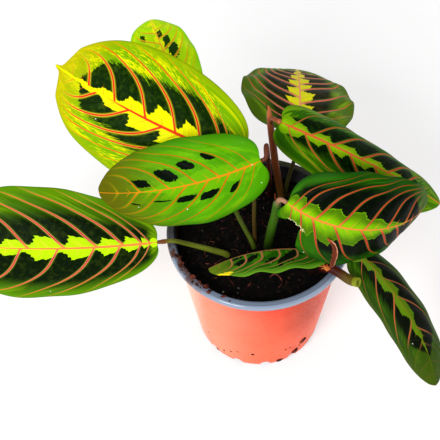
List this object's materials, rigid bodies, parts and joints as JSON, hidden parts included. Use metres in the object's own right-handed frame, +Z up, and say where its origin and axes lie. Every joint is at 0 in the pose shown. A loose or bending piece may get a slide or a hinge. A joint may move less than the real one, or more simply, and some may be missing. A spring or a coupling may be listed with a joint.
{
  "type": "potted prayer plant",
  "caption": "Small nursery pot of soil holding a prayer plant with broad, red-veined, blotched leaves on slender stalks and a creeping stem over the rim.",
  "frame": {"origin": "centre of the pot's flat base, on the surface it stands on", "axes": "+Z up along the pot's axis, -Y towards the side seen in front, +X to the right as seen from the front"},
  "size_m": [0.3086, 0.2312, 0.2162],
  "materials": {
    "pot": "satin terracotta outside, blue-grey rim and inside",
    "soil": "damp peaty potting soil with bark and fibre",
    "leaf_left": "satin leaf, dark blotches, lime band, red veins",
    "leaf_upper_left": "satin leaf, yellow-green, dark blotches, red veins",
    "leaf_middle": "satin leaf, bright green, few dark spots, orange veins",
    "leaf_back_left": "satin leaf, lime green, few dark spots",
    "leaf_back_right": "satin leaf, dark olive, lime band, pink veins",
    "leaf_right": "satin leaf, dark blotches, lime band, orange veins",
    "leaf_front_right": "satin leaf, broad bright band, near-black blotches",
    "leaf_folded": "satin leaf, dark green, red veins, yellowed tip",
    "leaf_trailing": "satin leaf, dark green, olive band, tan veins",
    "stalk_green": "smooth green leaf stalk",
    "stalk_brown": "red-brown leaf stalk and stem",
    "dry": "dry papery sheath"
  },
  "bodies": {
    "root": {"pot": "pot", "soil": "soil", "creeping_stem": "stalk_brown", "dry_sheath": "dry", "leaf_left": "leaf_left", "leaf_upper_left": "leaf_upper_left", "leaf_middle": "leaf_middle", "leaf_back_left": "leaf_back_left", "leaf_back_right": "leaf_back_right", "leaf_right": "leaf_right", "leaf_front_right": "leaf_front_right", "leaf_folded": "leaf_folded", "leaf_trailing": "leaf_trailing", "stalk_left": "stalk_green", "stalk_upper_left": "stalk_green", "stalk_middle": "stalk_brown", "stalk_back_left": "stalk_green", "stalk_back_right": "stalk_green", "stalk_front_right": "stalk_green", "stalk_right": "stalk_brown"}
  },
  "joints": []
}
